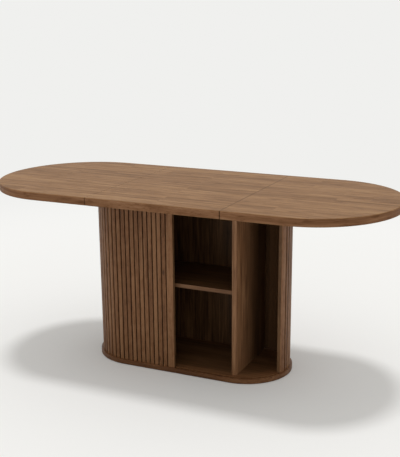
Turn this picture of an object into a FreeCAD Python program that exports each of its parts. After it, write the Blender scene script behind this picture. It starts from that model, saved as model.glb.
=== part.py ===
import FreeCAD, Part
import math
import os

# Sizes of the table in millimetres, angles in degrees
SIZES = {
    "table_height": 760, "top_length": 1756, "top_width": 756, "top_thickness": 32, "end_share": 0.4577,
    "leaf_length": 574, "seam_gap": 0.6, "leaf_play": 0.3, "edge_round": 3,
    "base_length": 876, "base_width": 388, "board_thickness": 18, "mechanism_height": 28,
    "glide_height": 2, "glide_radius": 15, "glide_margin": 70, "glide_inset": 60,
    "rim": 9, "groove_width": 8, "groove_depth": 6,
    "slat_count": 34, "slat_gap": 5, "slat_thickness": 10, "slat_bevel": 1.6, "end_play": 0.5,
    "canvas_thickness": 0.8, "canvas_cut": 0.1,
    "stile_width": 29, "stile_depth": 16, "finger_gap": 12, "open_turn": 70, "tail_room": 139.354,
    "divider_thickness": 20, "divider_lap": 1, "divider_inset": 38, "back_inset": 34, "back_thickness": 6,
    "shelf_top": 381, "shelf_thickness": 16, "shelf_setback": 3,
    "pin_radius": 2.5, "pin_reach": 8, "pin_inset": 50,
    "dowel_radius": 4, "dowel_short": 12, "dowel_long": 24, "dowel_margin": 84, "overcut": 1,
    "channel_length": 680, "channel_inset": 79, "channel_width": 51, "channel_height": 22, "channel_floor": 4,
    "lane_offset": 12, "lane_width": 19.6, "lip_height": 4, "lip_opening": 13,
    "runner_foot": 19, "runner_neck": 12.4, "foot_height": 13.6, "runner_outer": 760, "runner_inner": 330,
    "batten_length": 480, "batten_width": 40, "batten_height": 20, "batten_share": 0.348,
    "screw_radius": 2, "head_radius": 4, "head_height": 3, "head_sink": 5, "head_play": 0.2, "screw_bite": 20,
    "small_screw_radius": 1.75, "small_head_radius": 3.5, "small_head_height": 2, "small_head_sink": 2.5,
    "small_screw_bite": 15, "channel_screw_near": 102, "channel_screw_far": 299, "batten_screw_near": 72,
    "batten_screw_far": 202, "runner_screw_end": 60, "runner_screw_step": 140,
}

doc = FreeCAD.newDocument("pedestal_table")
sheet = doc.addObject("Spreadsheet::Sheet", "sheet")
for row, (alias, value) in enumerate(SIZES.items(), start=1):
    sheet.set("A%d" % row, alias)
    sheet.set("B%d" % row, str(value))
    sheet.setAlias("B%d" % row, alias)
doc.recompute()

# Levels of the boards from the floor up, and where the seams of the top lie
PLINTH_TOP = "(sheet.glide_height + sheet.board_thickness)"
TOP_UNDER = "(sheet.table_height - sheet.top_thickness)"
BASE_TOP = "(sheet.table_height - sheet.top_thickness - sheet.mechanism_height)"
BASE_UNDER = "(%s - sheet.board_thickness)" % BASE_TOP
STRAIGHT = "(sheet.base_length - sheet.base_width)"
HALF_WIDTH = "sheet.base_width / 2"
SEAM = "(sheet.leaf_length / 2 + sheet.seam_gap)"
nodes = []


def size(alias):
    return float(sheet.get(alias))


def place(item, x, y, z):
    """Bind an object's position to expressions."""
    for axis, text in zip("xyz", (x, y, z)):
        item.setExpression(".Placement.Base.%s" % axis, str(text))
    return item


def box(name, x, y, z, length, width, height):
    """Box from its centre in X and Y and its lowest Z."""
    item = doc.addObject("Part::Box", name)
    for prop, text in zip(("Length", "Width", "Height"), (length, width, height)):
        item.setExpression(prop, str(text))
    return place(item, "%s - (%s) / 2" % (x, length), "%s - (%s) / 2" % (y, width), z)


def rod(name, x, y, z, radius, height, turn=None):
    """Cylinder from its starting point, upright unless turned."""
    item = doc.addObject("Part::Cylinder", name)
    item.setExpression("Radius", str(radius))
    item.setExpression("Height", str(height))
    if turn:
        item.Placement = FreeCAD.Placement(FreeCAD.Vector(), FreeCAD.Rotation(*turn))
    return place(item, x, y, z)


def join(name, items):
    item = doc.addObject("Part::MultiFuse", name)
    item.Shapes = items
    item.Refine = True
    return item


def cut(name, base, tools):
    item = doc.addObject("Part::Cut", name)
    item.Base = base
    item.Tool = tools[0] if len(tools) == 1 else join(name + "_tools", tools)
    item.Refine = True
    return item


def group(name, items):
    item = doc.addObject("Part::Compound", name)
    item.Links = items
    return node(item, name)


def node(item, name):
    item.Label = name
    nodes.append(item)
    return item


def stadium(name, length, width, z, height):
    """Board with half-round ends."""
    run = "(%s - (%s))" % (length, width)
    parts = [box(name + "_run", 0, 0, z, run, width, height)]
    for side, sign in (("left", -1), ("right", 1)):
        parts.append(rod(name + "_" + side, "%d * %s / 2" % (sign, run), 0, z, "(%s) / 2" % width, height))
    return join(name, parts)


def track_groove(name, z, height):
    """Ring that follows the middle of the slats round the base."""
    middle = "(sheet.rim + sheet.slat_thickness / 2)"
    rings = []
    for side, sign in (("outer", -1), ("inner", 1)):
        inset = "2 * (%s + %d * sheet.groove_width / 2)" % (middle, sign)
        rings.append(stadium(name + "_" + side, "sheet.base_length - " + inset, "sheet.base_width - " + inset,
                             z, height))
    return cut(name, rings[0], [rings[1]])


def drill(name, spots, z, radius, height):
    return [rod("%s_%d" % (name, i), x, y, z, radius, height) for i, (x, y) in enumerate(spots)]


# Where the dowels, glides and screws stand
DIVIDER_SPAN = "(%s - 2 * sheet.divider_lap)" % STRAIGHT
DIVIDER_X = "(%s / 2 + sheet.divider_thickness / 2)" % DIVIDER_SPAN
DOWEL_ROW = "(%s - sheet.dowel_margin)" % HALF_WIDTH
GLIDE_ROW = "(%s - sheet.glide_margin)" % HALF_WIDTH
CHANNEL_ROW = "(%s - sheet.channel_inset)" % HALF_WIDTH
dowel_spots = [("%d * %s" % (sx, DIVIDER_X), "%d * %s" % (row, DOWEL_ROW))
               for sx in (-1, 1) for row in (-1, 0, 1)]
glide_spots = [("%d * %s / 2" % (sx, STRAIGHT), "%d * %s" % (sy, GLIDE_ROW)) for sx in (-1, 1) for sy in (-1, 1)]
glide_spots += [("%d * (sheet.base_length / 2 - sheet.glide_inset)" % sx, "0") for sx in (-1, 1)]
channel_spots = [("%d * sheet.channel_screw_%s" % (sx, part), "%d * (%s + sheet.lane_offset)" % (sy, CHANNEL_ROW))
                 for sy in (-1, 1) for sx in (-1, 1) for part in ("near", "far")]

# Plinth, its glides, and the matching board at the head of the base
board = stadium("plinth_board", "sheet.base_length", "sheet.base_width", "sheet.glide_height",
                "sheet.board_thickness")
groove = track_groove("plinth_groove", PLINTH_TOP + " - sheet.groove_depth",
                      "sheet.groove_depth + sheet.overcut")
holes = drill("plinth_dowel_hole", dowel_spots, PLINTH_TOP + " - sheet.dowel_short", "sheet.dowel_radius",
              "sheet.dowel_short + sheet.overcut")
node(cut("plinth", board, [groove] + holes), "plinth")
group("floor_glides", drill("glide", glide_spots, "0", "sheet.glide_radius", "sheet.glide_height"))

board = stadium("head_board", "sheet.base_length", "sheet.base_width", BASE_UNDER, "sheet.board_thickness")
groove = track_groove("head_groove", BASE_UNDER + " - sheet.overcut", "sheet.groove_depth + sheet.overcut")
holes = drill("head_dowel_hole", dowel_spots, BASE_UNDER + " - sheet.overcut", "sheet.dowel_radius",
              "sheet.dowel_short + sheet.overcut")
holes += drill("head_screw_hole", channel_spots, BASE_TOP + " - sheet.small_screw_bite",
               "sheet.small_screw_radius", "sheet.small_screw_bite + sheet.overcut")
node(cut("base_top", board, [groove] + holes), "base_top")

dowel_length = "sheet.dowel_short + sheet.dowel_long"
dowels = drill("low_dowel", dowel_spots, PLINTH_TOP + " - sheet.dowel_short", "sheet.dowel_radius",
               dowel_length)
dowels += drill("high_dowel", dowel_spots, BASE_UNDER + " - sheet.dowel_long", "sheet.dowel_radius",
                dowel_length)
group("carcass_dowels", dowels)

# Two upright dividers, the back panel, and the shelf on its four pins
DIVIDER_FRONT = "(%s - sheet.divider_inset)" % HALF_WIDTH
BACK_INNER = "(%s - sheet.back_inset - sheet.back_thickness)" % HALF_WIDTH
SHELF_UNDER = "(sheet.shelf_top - sheet.shelf_thickness)"
PIN_Z = "(%s - sheet.pin_radius)" % SHELF_UNDER
pin_rows = ("-(%s - sheet.pin_inset)" % DIVIDER_FRONT, "(%s - sheet.pin_inset)" % BACK_INNER)
pins = []
for side, sign in (("left", -1), ("right", 1)):
    x = "%d * %s" % (sign, DIVIDER_X)
    depth = "(%s + %s)" % (DIVIDER_FRONT, BACK_INNER)
    middle = "((%s - %s) / 2)" % (BACK_INNER, DIVIDER_FRONT)
    body = box(side + "_divider_board", x, middle, PLINTH_TOP, "sheet.divider_thickness", depth,
               "%s - %s" % (BASE_UNDER, PLINTH_TOP))
    own = [spot for spot in dowel_spots if spot[0] == x]
    deep = "sheet.dowel_long + sheet.overcut"
    holes = drill(side + "_low_hole", own, PLINTH_TOP + " - sheet.overcut", "sheet.dowel_radius", deep)
    holes += drill(side + "_high_hole", own, BASE_UNDER + " - sheet.dowel_long", "sheet.dowel_radius", deep)
    start = "%d * %s / 2 - sheet.pin_reach" % (sign, DIVIDER_SPAN)
    for i, y in enumerate(pin_rows):
        turn = (FreeCAD.Vector(0, 1, 0), 90)
        holes.append(rod("%s_pin_hole_%d" % (side, i), start, y, PIN_Z, "sheet.pin_radius",
                         "2 * sheet.pin_reach", turn))
        pins.append(rod("%s_pin_%d" % (side, i), start, y, PIN_Z, "sheet.pin_radius",
                        "2 * sheet.pin_reach", turn))
    node(cut(side + "_divider", body, holes), side + "_divider")
group("shelf_pins", pins)
node(box("back_panel", 0, BACK_INNER + " + sheet.back_thickness / 2", PLINTH_TOP,
         DIVIDER_SPAN + " + 2 * sheet.divider_thickness", "sheet.back_thickness",
         "%s - %s" % (BASE_UNDER, PLINTH_TOP)), "back_panel")
SHELF_FRONT = "(%s - sheet.shelf_setback)" % DIVIDER_FRONT
node(box("shelf", 0, "(%s - %s) / 2" % (BACK_INNER, SHELF_FRONT), SHELF_UNDER, DIVIDER_SPAN,
         "%s + %s" % (SHELF_FRONT, BACK_INNER), "sheet.shelf_thickness"), "shelf")

# Twin-lane channels screwed to the base
LANE_FLOOR = "(%s + sheet.channel_floor)" % BASE_TOP
LIP_UNDER = "(%s + sheet.channel_height - sheet.lip_height)" % BASE_TOP
channel_screws = []
for side, sy in (("front", -1), ("back", 1)):
    middle = "%d * %s" % (sy, CHANNEL_ROW)
    body = box(side + "_channel_bar", 0, middle, BASE_TOP, "sheet.channel_length", "sheet.channel_width",
               "sheet.channel_height")
    tools = []
    for lane, sign in (("inner", -1), ("outer", 1)):
        y = "%d * (%s + %d * sheet.lane_offset)" % (sy, CHANNEL_ROW, sign)
        length = "sheet.channel_length + 2 * sheet.overcut"
        tools.append(box("%s_%s_lane" % (side, lane), 0, y, LANE_FLOOR, length, "sheet.lane_width",
                         "%s - %s" % (LIP_UNDER, LANE_FLOOR)))
        tools.append(box("%s_%s_slot" % (side, lane), 0, y, LIP_UNDER, length, "sheet.lip_opening",
                         "sheet.lip_height + sheet.overcut"))
    spots = [spot for spot in channel_spots if spot[1].startswith("%d *" % sy)]
    sunk = LANE_FLOOR + " - sheet.small_head_sink"
    tools += drill(side + "_channel_sink", spots, sunk, "sheet.small_head_radius + sheet.head_play",
                   "sheet.small_head_sink + sheet.overcut")
    tools += drill(side + "_channel_hole", spots, BASE_TOP + " - sheet.overcut", "sheet.small_screw_radius",
                   "sheet.channel_floor + sheet.overcut")
    node(cut(side + "_channel", body, tools), side + "_channel")
    heads = drill(side + "_small_head", spots, sunk, "sheet.small_head_radius", "sheet.small_head_height")
    shanks = drill(side + "_small_shank", spots, BASE_TOP + " - sheet.small_screw_bite",
                   "sheet.small_screw_radius", "%s - %s + sheet.small_screw_bite" % (sunk, BASE_TOP))
    channel_screws += [join("%s_channel_screw_%d" % (side, i), pair)
                       for i, pair in enumerate(zip(heads, shanks))]
group("channel_screws", channel_screws)


def screws_up(name, spots, foot):
    """Round-head screws driven upwards from a sunk seat into the top."""
    seat = "(%s + sheet.head_sink)" % foot
    heads = drill(name + "_head", spots, seat + " - sheet.head_height", "sheet.head_radius",
                  "sheet.head_height")
    shanks = drill(name + "_shank", spots, seat, "sheet.screw_radius",
                   "%s + sheet.screw_bite - %s" % (TOP_UNDER, seat))
    group(name, [join("%s_%d" % (name, i), pair) for i, pair in enumerate(zip(heads, shanks))])


def screw_holes(name, spots, foot):
    """Seat and pilot through the lower piece."""
    holes = drill(name + "_seat", spots, foot + " - sheet.overcut", "sheet.head_radius + sheet.head_play",
                  "sheet.head_sink + sheet.overcut")
    return holes + drill(name + "_pilot", spots, foot, "sheet.screw_radius",
                         "%s + sheet.overcut - %s" % (TOP_UNDER, foot))


def bites(name, spots):
    """Pilot in the underside of the top."""
    return drill(name, spots, TOP_UNDER + " - sheet.overcut", "sheet.screw_radius",
                 "sheet.screw_bite + sheet.overcut")


def rounded(name, item):
    """Round the level outer edges, leaving the seams and the upright corners sharp."""
    doc.recompute()
    near = 0.001
    picked = []
    for i, edge in enumerate(item.Shape.Edges, start=1):
        reach = edge.BoundBox
        if reach.ZLength < near and reach.XLength > near:
            picked.append(i)
    fillet = doc.addObject("Part::Fillet", name)
    fillet.Base = item
    fillet.Edges = [(i, size("edge_round"), size("edge_round")) for i in picked]
    return fillet


# End leaves: a straight run, an elliptical end, and two T-section runners each
END_REACH = "(sheet.top_width * sheet.end_share)"
END_X = "(sheet.top_length / 2 - %s)" % END_REACH
for side, sign, lane in (("left", -1, 1), ("right", 1, -1)):
    run = box(side + "_leaf_run", "%d * (%s + %s) / 2" % (sign, SEAM, END_X), 0, TOP_UNDER,
              "%s - %s" % (END_X, SEAM), "sheet.top_width", "sheet.top_thickness")
    oval = doc.addObject("Part::Ellipse", side + "_leaf_oval")
    oval.setExpression("MajorRadius", "sheet.top_width / 2")
    oval.setExpression("MinorRadius", END_REACH)
    oval.Placement = FreeCAD.Placement(FreeCAD.Vector(), FreeCAD.Rotation(FreeCAD.Vector(0, 0, 1), 90))
    place(oval, "%d * %s" % (sign, END_X), 0, TOP_UNDER)
    disc = doc.addObject("Part::Extrusion", side + "_leaf_disc")
    disc.Base = oval
    disc.DirMode = "Custom"
    disc.Dir = FreeCAD.Vector(0, 0, 1)
    disc.Solid = True
    disc.setExpression("LengthFwd", "sheet.top_thickness")
    half = doc.addObject("Part::Common", side + "_leaf_half")
    half.Base = disc
    half.Tool = box(side + "_leaf_window", "%d * (%s + %s)" % (sign, END_X, END_REACH), 0, TOP_UNDER,
                    "2 * " + END_REACH, "sheet.top_width + 2 * sheet.overcut", "sheet.top_thickness")
    slab = join(side + "_leaf_slab", [run, half])
    soft = rounded(side + "_leaf_soft", slab)
    screw_x = ["%d * (sheet.runner_outer - sheet.runner_screw_end - %d * sheet.runner_screw_step)" % (sign, i)
               for i in range(3)]
    runner_y = ["%d * (%s + %d * sheet.lane_offset)" % (sy, CHANNEL_ROW, lane) for sy in (-1, 1)]
    spots = [(x, y) for y in runner_y for x in screw_x]
    node(cut(side + "_leaf", soft, bites(side + "_leaf_bite", spots)), side + "_leaf")
    length = "sheet.runner_outer + sheet.runner_inner"
    middle = "%d * (sheet.runner_outer - sheet.runner_inner) / 2" % sign
    for row, y in zip(("front", "back"), runner_y):
        name = "%s_%s_runner" % (side, row)
        foot = box(name + "_foot", middle, y, LANE_FLOOR, length, "sheet.runner_foot", "sheet.foot_height")
        neck = box(name + "_neck", middle, y, LANE_FLOOR, length, "sheet.runner_neck",
                   "%s - sheet.leaf_play - %s" % (TOP_UNDER, LANE_FLOOR))
        seat = box(name + "_seat", "%d * (sheet.runner_outer + %s) / 2" % (sign, SEAM), y, LANE_FLOOR,
                   "sheet.runner_outer - " + SEAM, "sheet.runner_neck", "%s - %s" % (TOP_UNDER, LANE_FLOOR))
        own = [spot for spot in spots if spot[1] == y]
        bar = join(name + "_bar", [foot, neck, seat])
        node(cut(name, bar, screw_holes(name + "_screw", own, LANE_FLOOR)), name)
    screws_up(side + "_runner_screws", spots, LANE_FLOOR)

# Loose centre leaf with two battens under it
run = box("centre_leaf_run", 0, 0, TOP_UNDER, "sheet.leaf_length", "sheet.top_width", "sheet.top_thickness")
soft = rounded("centre_leaf_soft", run)
BATTEN_UNDER = "(%s - sheet.batten_height)" % TOP_UNDER
batten_y = ["%d * sheet.batten_share * %s" % (sy, CHANNEL_ROW) for sy in (-1, 1)]
spots = [("%d * sheet.batten_screw_%s" % (sx, part), y)
         for y in batten_y for sx in (-1, 1) for part in ("near", "far")]
node(cut("centre_leaf", soft, bites("centre_leaf_bite", spots)), "centre_leaf")
battens = []
for row, y in zip(("front", "back"), batten_y):
    bar = box(row + "_batten_bar", 0, y, BATTEN_UNDER, "sheet.batten_length", "sheet.batten_width",
              "sheet.batten_height")
    own = [spot for spot in spots if spot[1] == y]
    battens.append(cut(row + "_batten", bar, screw_holes(row + "_batten_screw", own, BATTEN_UNDER)))
group("leaf_battens", battens)
screws_up("batten_screws", spots, BATTEN_UNDER)
doc.recompute()


# Slatted doors: every slat stands square on the track that runs round the base
straight = (size("base_length") - size("base_width")) / 2
line = size("base_width") / 2 - size("rim") - size("slat_thickness")
foot = size("glide_height") + size("board_thickness") + size("end_play")
head = size("table_height") - size("top_thickness") - size("mechanism_height") - size("board_thickness")
slat_length = head - size("end_play") - foot

# The left door stands closed and the right one open, and their slats share out the track between them
opened = straight - size("finger_gap") / 2 + math.radians(size("open_turn")) * line
whole_track = 4 * straight + 2 * math.pi * line
room = whole_track - size("finger_gap") - opened - 2 * size("stile_width") - size("tail_room")
slat_pitch = room / (2 * size("slat_count"))
slat_width = slat_pitch - size("slat_gap")


def track(run):
    """Place and heading on the right half of the track, measured from where the front straight ends."""
    if run <= 0:
        return straight + run, -line, 0.0
    if run < math.pi * line:
        turn = run / line
        return straight + line * math.sin(turn), -line * math.cos(turn), turn
    return straight - (run - math.pi * line), line, math.pi


def prism(outline):
    """Upright solid on an outline of (along, outward) points."""
    wire = Part.makePolygon([FreeCAD.Vector(a, -b, 0) for a, b in outline + outline[:1]])
    return Part.Face(wire).extrude(FreeCAD.Vector(0, 0, slat_length))


def bevelled(width, outer, inner):
    """Outline with its two outer corners taken off."""
    w, c = width / 2, size("slat_bevel")
    return [(-w, -inner), (w, -inner), (w, outer - c), (w - c, outer), (c - w, outer), (-w, outer - c)]


def strip(before, after):
    """Canvas behind one slat, reaching towards its neighbours."""
    return [(-before, -size("canvas_thickness")), (after, -size("canvas_thickness")), (after, 0), (-before, 0)]


def stand(shape, run, mirror):
    """Put a solid on the track, on the left door when mirrored."""
    x, y, turn = track(run)
    shape = shape.copy()
    shape.Placement = FreeCAD.Placement(FreeCAD.Vector(x, y, foot),
                                        FreeCAD.Rotation(FreeCAD.Vector(0, 0, 1), math.degrees(turn)))
    return shape.mirror(FreeCAD.Vector(), FreeCAD.Vector(1, 0, 0)) if mirror else shape


def door(side, opened, groups):
    """Lead stile and groups of slats, each group a node of its own."""
    mirror = side == "left"
    lead = opened - straight + size("finger_gap") / 2
    behind = size("stile_depth") - size("slat_thickness")
    stile = prism(bevelled(size("stile_width"), size("slat_thickness"), behind))
    solid(side + "_stile", [stand(stile, lead + size("stile_width") / 2, mirror)])
    half = slat_width / 2
    reach = slat_pitch / 2 - size("canvas_cut")
    first = lead + size("stile_width") + size("slat_gap") + half
    for name, members in groups:
        shapes = []
        for i in members:
            run = first + i * slat_pitch
            before = reach if i > members[0] else half
            after = reach if i < members[-1] else half
            shapes.append(stand(prism(bevelled(slat_width, size("slat_thickness"), 0)), run, mirror))
            shapes.append(stand(prism(strip(before, after)), run, mirror))
        solid(name, shapes)


def solid(name, shapes):
    item = doc.addObject("Part::Feature", name)
    item.Shape = Part.makeCompound(shapes)
    node(item, name)


pairs = int(size("slat_count")) // 2
pair = [range(2 * i, 2 * i + 2) for i in range(pairs)]
TURN_FROM, END_FROM, TAILS = 2, 5, 2
left_groups = [("left_front_slats", range(0, 2 * TURN_FROM))]
left_groups += [("left_turn_slats_%d" % (i + 1), pair[TURN_FROM + i]) for i in range(END_FROM - TURN_FROM)]
left_groups += [("left_end_slats", range(2 * END_FROM, 2 * (pairs - TAILS)))]
left_groups += [("left_tail_slats_%d" % (i + 1), pair[pairs - TAILS + i]) for i in range(TAILS)]
door("left", 0.0, left_groups)
door("right", opened, [("right_slats_%02d" % (i + 1), members) for i, members in enumerate(pair)])

# Every object must be sound before anything is written
doc.recompute()
for item in doc.Objects:
    if "Invalid" in item.State or "Error" in item.State:
        raise RuntimeError("bad object " + item.Name)
    if hasattr(item, "Shape") and (item.Shape.isNull() or not item.Shape.isValid()):
        raise RuntimeError("bad shape " + item.Name)
os.makedirs("parts", exist_ok=True)
for item in nodes:
    item.Shape.exportStep("parts/%s.step" % item.Label)
    print(item.Label, len(item.Shape.Solids), round(item.Shape.Volume))
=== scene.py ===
import bpy
import math
import random
from mathutils import Matrix, Vector


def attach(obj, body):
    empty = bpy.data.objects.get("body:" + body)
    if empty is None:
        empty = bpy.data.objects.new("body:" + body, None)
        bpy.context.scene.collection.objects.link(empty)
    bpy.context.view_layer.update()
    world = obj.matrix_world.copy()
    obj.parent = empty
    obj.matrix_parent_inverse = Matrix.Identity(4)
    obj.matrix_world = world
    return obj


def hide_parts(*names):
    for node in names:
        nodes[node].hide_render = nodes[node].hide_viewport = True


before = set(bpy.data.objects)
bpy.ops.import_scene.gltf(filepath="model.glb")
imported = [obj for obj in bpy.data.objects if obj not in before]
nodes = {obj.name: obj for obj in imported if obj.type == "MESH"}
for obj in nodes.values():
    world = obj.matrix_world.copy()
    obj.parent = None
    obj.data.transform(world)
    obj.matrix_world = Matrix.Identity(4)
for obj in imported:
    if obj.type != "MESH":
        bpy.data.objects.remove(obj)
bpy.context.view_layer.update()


# Glides: small round pads of dark pressed felt, dense and matt.
# They are stuck under the plinth and lift the base a little off the floor.
felt_tones = [(0.3, (0.018, 0.016, 0.014)), (0.75, (0.07, 0.062, 0.055))]


def node_adder(tree):
    """Function that adds a node to a tree with its settings and its inputs, which are values or sockets."""
    def add(kind, settings=None, inputs=None):
        item = tree.nodes.new("ShaderNode" + kind)
        for key, value in (settings or {}).items():
            setattr(item, key, value)
        for key, value in (inputs or {}).items():
            if isinstance(value, bpy.types.NodeSocket):
                tree.links.new(value, item.inputs[key])
            else:
                item.inputs[key].default_value = value
        return item

    return add


def material(name, fixed=None):
    """New material with its fixed values, a function that adds a node and one that feeds the shader."""
    made = bpy.data.materials.new(name)
    made.use_nodes = True
    tree = made.node_tree
    shader = tree.nodes["Principled BSDF"]
    for socket, value in (fixed or {}).items():
        shader.inputs[socket].default_value = value

    def feed(source, socket):
        tree.links.new(source, shader.inputs[socket])

    return made, node_adder(tree), feed


def place(add):
    """Place on the object, in metres."""
    return add("TexCoord").outputs["Object"]


def noise(add, spot, scale, detail, roughness=0.5, bend=0.0):
    """Cloudy variation from nought to one."""
    return add("TexNoise", None, {"Vector": spot, "Scale": scale, "Detail": detail, "Roughness": roughness,
                                  "Distortion": bend}).outputs["Fac"]


def ramp(add, level, stops):
    """Colour ramp from (position, colour) pairs."""
    item = add("ValToRGB", None, {"Fac": level})
    points = item.color_ramp.elements
    while len(points) < len(stops):
        points.new(0.5)
    for point, (position, colour) in zip(points, stops):
        point.position = position
        point.color = (*colour, 1)
    return item.outputs["Color"]


def emboss(add, feed, height, strength, depth):
    """Fine relief of a surface."""
    bump = add("Bump", None, {"Height": height, "Strength": strength, "Distance": depth})
    feed(bump.outputs["Normal"], "Normal")


def dress(finish, *names):
    """Give CAD pieces a finish in their own material slots."""
    for name in names:
        slots = nodes[name].data.materials
        if not slots:
            slots.append(finish)
        for i in range(len(slots)):
            slots[i] = finish


felt, add, feed = material("pressed_felt", {"Roughness": 0.95, "Specular IOR Level": 0.1})
fibres = noise(add, place(add), scale=900.0, detail=6.0, roughness=0.7)
feed(ramp(add, fibres, felt_tones), "Base Color")
emboss(add, feed, fibres, strength=0.6, depth=0.0006)
dress(felt, "floor_glides")


# Plinth and base top: two boards with half-round ends, veneered in walnut with the grain along the table.
# A groove near the edge of each board guides the doors, and the satin lacquer shows the open pores.
# Painted light makes the rim and edge of each board paler, and painted shade darkens the middle of each board
# and the grooves.
straight, board_radius = 0.244, 0.194
groove_radius, groove_reach = 0.181, 0.0042
groove_middle, groove_height = 0.351, 0.3385
rim_start, rim_full = 0.12, 0.184
lit_rim_tones = ((0.145, 0.06, 0.023), (0.235, 0.104, 0.043), (0.325, 0.16, 0.072))
shaded_floor_tones = ((0.07, 0.031, 0.012), (0.122, 0.057, 0.023), (0.172, 0.087, 0.039))
painted_shade_brown = (0.07, 0.034, 0.016, 1)
figure_grain, fibre_grain, pore_grain = (1.8, 26, 26), (6, 150, 150), (22, 800, 800)
vein_grain, stave_vein_grain = (2.6, 64, 64), (12, 90, 90)
mottle_grain, knot_grain = (34, 60, 60), (7, 14, 14)
pore_lines = [(0.3, (0.6, 0.55, 0.5)), (0.46, (1, 1, 1))]
vein_lines = [(0.34, (0.62, 0.56, 0.5)), (0.46, (1, 1, 1))]
knot_spots = [(0.05, (0.42, 0.36, 0.3)), (0.11, (1, 1, 1))]
line_strength, stave_hop = 0.75, (3.1, 1.7, 5.3)
stave_bond = {"offset": 0.37, "offset_frequency": 3, "squash": 0.74, "squash_frequency": 2}


def split(add, vector):
    """Parts X, Y and Z of a vector."""
    return add("SeparateXYZ", None, {"Vector": vector}).outputs


def calc(add, operation, *values):
    """Result of one sum."""
    return add("Math", {"operation": operation}, dict(enumerate(values))).outputs["Value"]


def spread(add, value, start, end, low=0.0, high=1.0, smooth=False):
    """Value carried over from one range to another and held at its ends."""
    item = add("MapRange", {"interpolation_type": "SMOOTHSTEP" if smooth else "LINEAR"},
               {"Value": value, "From Min": start, "From Max": end, "To Min": low, "To Max": high})
    return item.outputs["Result"]


def stretch(add, spot, scale):
    """Place drawn out by three scales."""
    return add("VectorMath", {"operation": "MULTIPLY"}, {0: spot, 1: scale}).outputs["Vector"]


def mix(add, share, colour, other, way="MIX"):
    """Colour with a share of another."""
    return add("Mix", {"data_type": "RGBA", "blend_type": way}, {0: share, 6: colour, 7: other}).outputs[2]


def tone_ramp(add, level, tones):
    """Colour ramp through dark, middle and pale tones."""
    return ramp(add, level, list(zip((0.0, 0.5, 1.0), tones)))


def carried(add, name):
    """Values that a mesh carries at its points."""
    return add("Attribute", {"attribute_name": name}).outputs


def edge_faces(add):
    """Mask of the upright faces of a lying board."""
    rise = split(add, add("TexCoord").outputs["Normal"])["Z"]
    return calc(add, "COMPARE", rise, 0.0, 0.5)


def from_spine(add):
    """Distance from the line between the centres of a board's round ends."""
    spot = split(add, place(add))
    past = calc(add, "MAXIMUM", calc(add, "SUBTRACT", calc(add, "ABSOLUTE", spot["X"]), straight), 0.0)
    ray = add("CombineXYZ", None, {"X": past, "Y": spot["Y"]}).outputs["Vector"]
    return add("VectorMath", {"operation": "LENGTH"}, {0: ray}).outputs["Value"]


def rim_and_edge(add):
    """Mask of a board's edge and rim, which get painted light, fading towards the middle of the board."""
    return spread(add, from_spine(add), rim_start, rim_full)


def groove_faces(add):
    """Mask of the grooves in the two boards, which get painted shade."""
    ring = calc(add, "COMPARE", from_spine(add), groove_radius, groove_reach)
    between = calc(add, "COMPARE", split(add, place(add))["Z"], groove_middle, groove_height)
    return calc(add, "MULTIPLY", ring, between)


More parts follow.
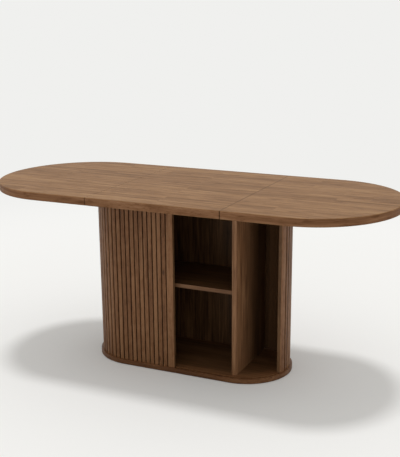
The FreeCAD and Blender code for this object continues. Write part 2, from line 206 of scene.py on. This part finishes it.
def walnut(name, tones, along, staves=None, slatwise=False, lit_band=None, where=edge_faces, dark=None, gloss=0.42,
           polish=0.25):
    """Walnut veneer with its grain along one axis; staves are (length, width) of pieces laid side by side."""
    made, add, feed = material(name, {"Specular IOR Level": polish})
    spot = carried(add, "grain_place")["Vector"] if slatwise else place(add)
    axes = split(add, spot)
    order = {"X": "XYZ", "Z": "ZXY"}[along]
    grain = add("CombineXYZ", None, {part: axes[axis] for part, axis in zip("XYZ", order)}).outputs["Vector"]
    if staves:
        length, width = staves
        brick = add("TexBrick", stave_bond,
                    {"Vector": spot, "Color1": (0, 0, 0, 1), "Color2": (1, 1, 1, 1), "Scale": 1.0,
                     "Mortar Size": 0.0, "Brick Width": length, "Row Height": width})
        shade = add("RGBToBW", None, {"Color": brick.outputs["Color"]}).outputs["Val"]
        hop = add("VectorMath", {"operation": "SCALE"}, {0: stave_hop, "Scale": shade}).outputs["Vector"]
        grain = add("VectorMath", {"operation": "ADD"}, {0: grain, 1: hop}).outputs["Vector"]
        bearing = calc(add, "ARCTAN2", axes["Y"], axes["X"])
        bent = add("CombineXYZ", None, {"X": bearing, "Y": axes["Z"]}).outputs["Vector"]
        edge = where(add)
        grain = add("Mix", {"data_type": "VECTOR"}, {0: edge, 4: grain, 5: bent}).outputs[1]
        shade = add("Mix", None, {0: edge, 2: shade, 3: 0.5}).outputs[0]

    def streaks(scale, detail, bend):
        return noise(add, stretch(add, grain, scale), 1.0, detail, 0.6, bend)

    figure = streaks(figure_grain, detail=4.0, bend=0.9)
    fibre = streaks(fibre_grain, detail=5.0, bend=0.2)
    veins = streaks(stave_vein_grain if staves else vein_grain, detail=3.0, bend=0.5)
    pores = streaks(pore_grain, detail=3.0, bend=0.0)
    value = calc(add, "MULTIPLY_ADD", fibre, 0.5, figure)
    low, high = 0.55, 0.95
    if staves:
        value = calc(add, "MULTIPLY_ADD", shade, 0.1, value)
        low, high = 0.58, 1.02
    if slatwise:
        value = calc(add, "MULTIPLY_ADD", carried(add, "slat_tone")["Fac"], 0.14, value)
        value = calc(add, "MULTIPLY_ADD", streaks(mottle_grain, detail=2.0, bend=0.3), 0.55, value)
        low, high = 0.815, 1.255
    level = spread(add, value, low, high)
    colour = tone_ramp(add, level, tones)
    # Painted light: the band gives the masked edges and fronts paler tones, as if more lit.
    if lit_band:
        colour = mix(add, where(add), colour, tone_ramp(add, level, lit_band))
    # Painted shade: a dark brown in the grooves and beside the seams of the top.
    if dark:
        colour = mix(add, dark(add), colour, painted_shade_brown)
    for layer, lines in ((pores, pore_lines), (veins, vein_lines)):
        colour = mix(add, line_strength, colour, ramp(add, layer, lines), "MULTIPLY")
    if slatwise:
        cells = {"Vector": stretch(add, grain, knot_grain), "Scale": 1.0}
        knots = add("TexVoronoi", None, cells).outputs["Distance"]
        colour = mix(add, 1.0, colour, ramp(add, knots, knot_spots), "MULTIPLY")
    feed(colour, "Base Color")
    feed(spread(add, fibre, 0.0, 1.0, gloss + 0.1, gloss - 0.04), "Roughness")
    emboss(add, feed, calc(add, "MULTIPLY_ADD", fibre, 0.35, pores), strength=0.25, depth=0.0004)
    return made


# Painted light on the rims and edges, painted shade in the middles and the grooves.
rim_walnut = walnut("walnut_boards_along", shaded_floor_tones, "X", lit_band=lit_rim_tones, where=rim_and_edge,
                    dark=groove_faces)
dress(rim_walnut, "plinth", "base_top")


# Dividers and back panel: upright walnut boards that part the base into a middle and two ends.
# Dowels hold the dividers between plinth and base top, and the thin back is let in behind them.
# Painted shade darkens each divider behind its front and the whole back panel.
shade_full, shade_none = 0.08, -0.11
board_tones = ((0.17, 0.078, 0.034), (0.36, 0.18, 0.087), (0.545, 0.298, 0.155))
inner_shade_tones = ((0.065, 0.03, 0.011), (0.115, 0.056, 0.023), (0.165, 0.085, 0.037))
back_shade_tones = ((0.03, 0.013, 0.005), (0.118, 0.057, 0.023), (0.225, 0.116, 0.05))


def front_part(add):
    """Mask of a divider's front, which fades where the painted shade of the inside begins."""
    return spread(add, split(add, place(add))["Y"], shade_full, shade_none)


upright = walnut("walnut_boards_upright", inner_shade_tones, "Z", lit_band=board_tones, where=front_part)
dress(upright, "left_divider", "right_divider")
# Painted shade: the back panel is darkened all over.
dress(walnut("back_painted_shade", back_shade_tones, "Z"), "back_panel")


# Shelf: a loose board across the middle compartment, darkened with painted shade as dark as the back behind it.
# It rests on four pins, and its front edge is painted paler than the shaded face.
lip_tones = ((0.14, 0.065, 0.029), (0.225, 0.11, 0.052), (0.31, 0.168, 0.086))
dress(walnut("shelf_painted_shade", inner_shade_tones, "X", lit_band=lip_tones), "shelf")


# Dowels, battens and runners: plain beech, turned or planed, with short flecks and no stain.
# The dowels sit inside the boards, the battens stiffen the loose leaf, and the runners carry the end leaves.
beech_tones = [(0.3, (0.34, 0.2, 0.1)), (0.55, (0.5, 0.33, 0.18)), (0.8, (0.58, 0.41, 0.24))]
beech, add, feed = material("plain_beech")
flecks = noise(add, stretch(add, place(add), (9, 160, 160)), scale=2.0, detail=4.0, roughness=0.6)
feed(ramp(add, flecks, beech_tones), "Base Color")
feed(spread(add, flecks, 0.0, 1.0, low=0.65, high=0.5), "Roughness")
emboss(add, feed, flecks, strength=0.2, depth=0.0003)
dress(beech, "carcass_dowels", "leaf_battens", "left_front_runner", "left_back_runner", "right_front_runner",
      "right_back_runner")


# Shelf pins and screws: zinc-plated steel, slightly blotched by the plating.
# The pins stand in blind holes in the dividers, and the screws hold channels, runners and battens.
zinc_tones = [(0.3, (0.42, 0.41, 0.38)), (0.7, (0.62, 0.61, 0.58))]
zinc, add, feed = material("zinc_plate", {"Metallic": 1.0})
blotch = noise(add, place(add), scale=260.0, detail=4.0)
feed(ramp(add, blotch, zinc_tones), "Base Color")
feed(spread(add, blotch, 0.0, 1.0, low=0.25, high=0.45), "Roughness")
dress(zinc, "shelf_pins", "channel_screws", "left_runner_screws", "right_runner_screws", "batten_screws")


# Channels: twin-lane aluminium extrusions screwed to the base top, with fine die lines along their length.
# A runner of each end leaf slides in every lane.
metal_tones = [(0.3, (0.5, 0.5, 0.5)), (0.7, (0.66, 0.66, 0.66))]
extrusion, add, feed = material("extruded_aluminium", {"Metallic": 1.0})
die_lines = noise(add, stretch(add, place(add), (3, 1200, 1200)), scale=1.0, detail=3.0)
feed(ramp(add, die_lines, metal_tones), "Base Color")
feed(spread(add, die_lines, 0.0, 1.0, low=0.3, high=0.5), "Roughness")
emboss(add, feed, die_lines, strength=0.15, depth=0.0002)
dress(extrusion, "front_channel", "back_channel")


# Doors: narrow walnut slats glued side by side on one canvas, which lets them bend and shows inside.
# Each slat is sawn from other stock, so tones vary, and the flanks have painted shade, as in the gaps between
# slats.
# They stand on the track round the base, a straight front and back joined by half-round ends.
line_radius = 0.175
slat_pitch, slat_gap, slat_thickness = 0.0208, 0.005, 0.010
slat_width = slat_pitch - slat_gap
slat_foot, slat_head = 0.0205, 0.6815
corner_round, corner_steps, sharp_angle = 0.0016, 4, math.radians(40)
cloth_thickness, cloth_half = 0.0008, slat_pitch / 2 - 0.0001
stile_width, finger_gap = 0.029, 0.012
open_run = straight - finger_gap / 2 + math.radians(70) * line_radius
slat_tones = ((0.179, 0.077, 0.03), (0.272, 0.123, 0.052), (0.365, 0.181, 0.085))
flank_shade_tones = ((0.102, 0.048, 0.02), (0.17, 0.085, 0.038), (0.236, 0.128, 0.059))
canvas_tones = [(0.0, (0.063, 0.03, 0.013)), (0.8, (0.25, 0.129, 0.06))]
stock, grain_spread = random.Random(57), 9


def lead_edge(mirror):
    """Run of a door's front edge along the track; the left door is closed and the right one open."""
    return (0.0 if mirror else open_run) - straight + finger_gap / 2


def on_track(run, mirror):
    """Place of a strip on the track, which starts where the front straight meets the round end."""
    if run <= 0:
        x, y, turn = straight + run, -line_radius, 0.0
    elif run < math.pi * line_radius:
        turn = run / line_radius
        x, y = straight + line_radius * math.sin(turn), -line_radius * math.cos(turn)
    else:
        x, y, turn = straight - (run - math.pi * line_radius), line_radius, math.pi
    put = Matrix.Translation((x, y, 0)) @ Matrix.Rotation(turn, 4, "Z")
    return Matrix.Scale(-1, 4, (1, 0, 0)) @ put if mirror else put


def strip_outline(width, outer, inner):
    """Section of a strip as (along, out) points with its two outer corners rounded."""
    half = width / 2
    points = [(-half, -inner), (half, -inner)]
    for side, start in ((1, 0), (-1, 90)):
        for step in range(corner_steps + 1):
            turn = math.radians(start + step * 90 / corner_steps)
            points.append((side * (half - corner_round) + corner_round * math.cos(turn),
                           outer - corner_round + corner_round * math.sin(turn)))
    return points


def strips(name, runs, outline, mirror, finish, tone=None):
    """One mesh of upright strips at their runs along the track, each with its own tone and grain."""
    points, faces, tones, places = [], [], [], []
    count = len(outline)
    for run in runs:
        put = on_track(run, mirror)
        shade = stock.random() if tone is None else tone
        offset = Vector([stock.uniform(0, grain_spread) for _ in range(3)])
        base = len(points)
        for z in (slat_foot, slat_head):
            for along, out in outline:
                points.append(put @ Vector((along, -out, z)))
                places.append(Vector((along, out, z)) + offset)
                tones.append(shade)
        ring = list(range(base, base + count))
        top = [i + count for i in ring]
        made = [(ring[i], ring[(i + 1) % count], top[(i + 1) % count], top[i]) for i in range(count)]
        made += [tuple(reversed(ring)), tuple(top)]
        faces += made if mirror else [tuple(reversed(face)) for face in made]
    mesh = bpy.data.meshes.new(name)
    mesh.from_pydata(points, [], faces)
    mesh.attributes.new("slat_tone", "FLOAT", "POINT").data.foreach_set("value", tones)
    grain_places = mesh.attributes.new("grain_place", "FLOAT_VECTOR", "POINT")
    grain_places.data.foreach_set("vector", [part for spot in places for part in spot])
    mesh.shade_smooth()
    mesh.set_sharp_from_angle(angle=sharp_angle)
    mesh.materials.append(finish)
    piece = bpy.data.objects.new(name, mesh)
    bpy.context.collection.objects.link(piece)
    return piece


def second_finish(piece, outline, finish, *sides):
    """Give the same sides of every strip in a mesh another finish; a strip has its sides and two ends."""
    mesh = piece.data
    mesh.materials.append(finish)
    for first in range(0, len(mesh.polygons), len(outline) + 2):
        for side in sides:
            mesh.polygons[first + side].material_index = 1


slat_walnut = walnut("walnut_slats", slat_tones, "Z", slatwise=True, gloss=0.45)
# Painted shade: the flank finish darkens the slat sides in the gaps.
flank_shade_walnut = walnut("walnut_flank_shade", flank_shade_tones, "Z", slatwise=True)
canvas, add, feed = material("door_canvas", {"Roughness": 0.9, "Specular IOR Level": 0.15})
threads = {"Vector": carried(add, "grain_place")["Vector"], "Scale": 260.0, "Distortion": 0.6}
warp, weft = [add("TexWave", {"bands_direction": axis}, threads).outputs["Fac"] for axis in "XZ"]
weave = calc(add, "MULTIPLY", warp, weft)
worn = calc(add, "MULTIPLY_ADD", carried(add, "slat_tone")["Fac"], 0.3, weave)
feed(ramp(add, worn, canvas_tones), "Base Color")
emboss(add, feed, weave, strength=0.4, depth=0.0004)

slat_section = strip_outline(slat_width, slat_thickness, 0.0)
cloth_section = [(-cloth_half, -cloth_thickness), (cloth_half, -cloth_thickness), (cloth_half, 0.0),
                 (-cloth_half, 0.0)]
groups = [("left_front_slats", "left_lead", 0, 4)]
groups += [(f"left_turn_slats_{i}", f"left_turn_{i}", 2 + 2 * i, 2) for i in (1, 2, 3)]
groups += [("left_end_slats", "left_end", 10, 20)]
groups += [(f"left_tail_slats_{i}", f"left_tail_{i}", 28 + 2 * i, 2) for i in (1, 2)]
for i in range(1, 18):
    body = "right_middle" if i in (6, 7) else f"right_pair_{i:02d}"
    groups.append((f"right_slats_{i:02d}", body, 2 * i - 2, 2))
for name, body, first, count in groups:
    mirror = name.startswith("left")
    first_run = lead_edge(mirror) + stile_width + slat_gap + slat_width / 2
    runs = [first_run + i * slat_pitch for i in range(first, first + count)]
    wood = strips(name + "_wood", runs, slat_section, mirror, slat_walnut)
    # Painted shade on both flanks of every slat.
    second_finish(wood, slat_section, flank_shade_walnut, 1, len(slat_section) - 1)
    cloth = strips(name + "_canvas", runs, cloth_section, mirror, canvas)
    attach(wood, body)
    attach(cloth, body)
    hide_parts(name)


# Lead stiles: the wider strip at the front edge of each door, thicker than a slat so that fingers can pull it.
# Both are solid walnut with eased outer corners, and the lead edge and the back have painted shade.
stile_depth, stile_tone = 0.016, 0.95
stile_section = strip_outline(stile_width, slat_thickness, stile_depth - slat_thickness)
for side, body in (("left", "left_lead"), ("right", "right_lead")):
    mirror = side == "left"
    runs = [lead_edge(mirror) + stile_width / 2]
    stile = strips(side + "_stile_wood", runs, stile_section, mirror, slat_walnut, stile_tone)
    # Painted shade on the stile's lead edge and back.
    second_finish(stile, stile_section, flank_shade_walnut, 0, len(stile_section) - 1)
    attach(stile, body)
    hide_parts(side + "_stile")


# Table top: two oval end leaves and a loose centre leaf, veneered in walnut staves laid along the table.
# Staves differ in tone and end in butt joints. The eased edge has the same veneer, and the oil finish is matt.
# Painted light makes the upright edge paler than the top; painted shade darkens the leaf ends beside the seams.
top_tones = ((0.166, 0.081, 0.031), (0.258, 0.135, 0.059), (0.343, 0.196, 0.091))
lit_edge_tones = ((0.202, 0.093, 0.043), (0.3, 0.148, 0.073), (0.398, 0.215, 0.116))
stave_length, stave_width = 0.62, 0.072
seam_place, centre_half = 0.2873, 0.1
left_seam, right_seam, edge_extra = 0.0007, 0.0012, 0.0007


def seam_shade(add):
    """Mask of the leaf ends beside the seams, darkened with painted shade, wider on the edge and at the right
    seam.
    """
    spot = split(add, place(add))["X"]
    shade_width = spread(add, spot, -centre_half, centre_half, left_seam, right_seam)
    reach = calc(add, "MULTIPLY_ADD", edge_faces(add), edge_extra, shade_width)
    return calc(add, "COMPARE", calc(add, "ABSOLUTE", spot), seam_place, reach)


top_walnut = walnut("walnut_top", top_tones, "X", staves=(stave_length, stave_width), lit_band=lit_edge_tones,
                    dark=seam_shade, polish=0.05)
dress(top_walnut, "left_leaf", "right_leaf", "centre_leaf")


# Studio: a pale floor that takes the table's shadow and fades into a white background.
# A lamp nearly overhead gives the soft shadow, and a dome that is brighter above lights the rest.
floor_reach, fade_start, fade_end, near_veil = 40.0, 1.6, 4.0, 0.2
floor_white, near_white, backdrop = (0.84, 0.842, 0.834, 1), (0.97, 0.97, 0.955), (0.871, 0.871, 0.855)
bounce_reach, bounce_tones = 0.8, [(0.0, (0.18, 0.175, 0.167)), (1.0, (0.6, 0.59, 0.57))]
shade_reach, shade_share = 0.42, 0.8
dome_colour, dome_aim, dome_low, dome_high = (1.0, 0.985, 0.95, 1), (0.15, 0.0, 1.0), 0.22, 0.86
lamp_strength, lamp_width, lamp_aim = 1.36, math.radians(9.5), (0.066, -0.126, -1.0)


def seen_rays(add):
    """One for rays from the camera, off gloss or through glass, which see the pale studio, and else nought."""
    rays = add("LightPath").outputs
    seen = rays["Is Camera Ray"]
    for kind in ("Is Glossy Ray", "Is Transmission Ray"):
        seen = calc(add, "MAXIMUM", seen, rays[kind])
    return seen


floor_mesh = bpy.data.meshes.new("studio_floor")
corners = [(x * floor_reach, y * floor_reach, 0) for x, y in ((-1, -1), (1, -1), (1, 1), (-1, 1))]
floor_mesh.from_pydata(corners, [], [(0, 1, 2, 3)])
floor = bpy.data.objects.new("studio_floor", floor_mesh)
bpy.context.collection.objects.link(floor)
paper, add, feed = material("pale_floor", {"Roughness": 0.9, "Specular IOR Level": 0.05})
seen, from_base = seen_rays(add), from_spine(add)
# Painted shade: for bounced light the floor is darker near the base, which darkens the lower doors.
bounce = ramp(add, spread(add, from_base, board_radius, bounce_reach), bounce_tones)
feed(mix(add, seen, bounce, floor_white), "Base Color")
far = add("VectorMath", {"operation": "LENGTH"}, {0: place(add)}).outputs["Value"]
fade = spread(add, far, fade_start, fade_end, smooth=True)
clear = calc(add, "GREATER_THAN", from_base, board_radius)
# Painted shade: the glow is off under the plinth and weaker close to it, so the floor is darker near the base.
near = spread(add, from_base, board_radius, shade_reach, low=shade_share, high=1.0)
open_floor = calc(add, "MULTIPLY", clear, near)
glare = calc(add, "MULTIPLY", spread(add, fade, 0.0, 1.0, low=near_veil, high=1.0), open_floor)
shine = ramp(add, fade, [(0.0, near_white), (1.0, backdrop)])
glow = add("Emission", None, {"Color": shine, "Strength": 1.0}).outputs["Emission"]
tree = paper.node_tree
plain = tree.nodes["Principled BSDF"].outputs["BSDF"]
mixed = add("MixShader", None, {0: calc(add, "MULTIPLY", glare, seen), 1: plain, 2: glow})
tree.links.new(mixed.outputs["Shader"], tree.nodes["Material Output"].inputs["Surface"])
floor_mesh.materials.append(paper)

scene = bpy.context.scene
scene.world = bpy.data.worlds.new("studio_sky")
scene.world.use_nodes = True
sky = scene.world.node_tree
add = node_adder(sky)
ambient = sky.nodes["Background"]
ambient.inputs["Color"].default_value = dome_colour
height = add("VectorMath", {"operation": "DOT_PRODUCT"}, {0: add("TexCoord").outputs["Generated"], 1: dome_aim})
dome = spread(add, height.outputs["Value"], 0.0, 1.0, dome_low, dome_high)
sky.links.new(dome, ambient.inputs["Strength"])
shown = add("Background", None, {"Color": (*backdrop, 1)}).outputs["Background"]
both = add("MixShader", None, {0: seen_rays(add), 1: ambient.outputs["Background"], 2: shown})
sky.links.new(both.outputs["Shader"], sky.nodes["World Output"].inputs["Surface"])

lamp = bpy.data.lights.new("overhead_lamp", "SUN")
lamp.energy = lamp_strength
lamp.angle = lamp_width
stand = bpy.data.objects.new("overhead_lamp", lamp)
stand.rotation_euler = Vector(lamp_aim).to_track_quat("-Z", "Y").to_euler()
bpy.context.collection.objects.link(stand)


# Camera: above the right front corner, looking down at the open door.
# Its lens and shift give the photograph's frame.
picture_width, picture_height, sensor = 400, 457, 36.0
focal_pixels, centre_across, centre_down = 884.98, 225.035, 259.191
eye_place, eye_dip, eye_turn = (1.5676, -3.2447, 1.4813), 16.0613, 23.685
lens = bpy.data.cameras.new("camera")
lens.sensor_fit = "HORIZONTAL"
lens.sensor_width = sensor
lens.lens = focal_pixels * sensor / picture_width
lens.shift_x = (picture_width / 2 - centre_across) / picture_width
lens.shift_y = (centre_down - picture_height / 2) / picture_width
eye = bpy.data.objects.new("camera", lens)
eye.location = eye_place
eye.rotation_euler = (math.radians(90 - eye_dip), 0, math.radians(eye_turn))
bpy.context.collection.objects.link(eye)
scene.camera = eye
scene.view_settings.view_transform = "Standard"
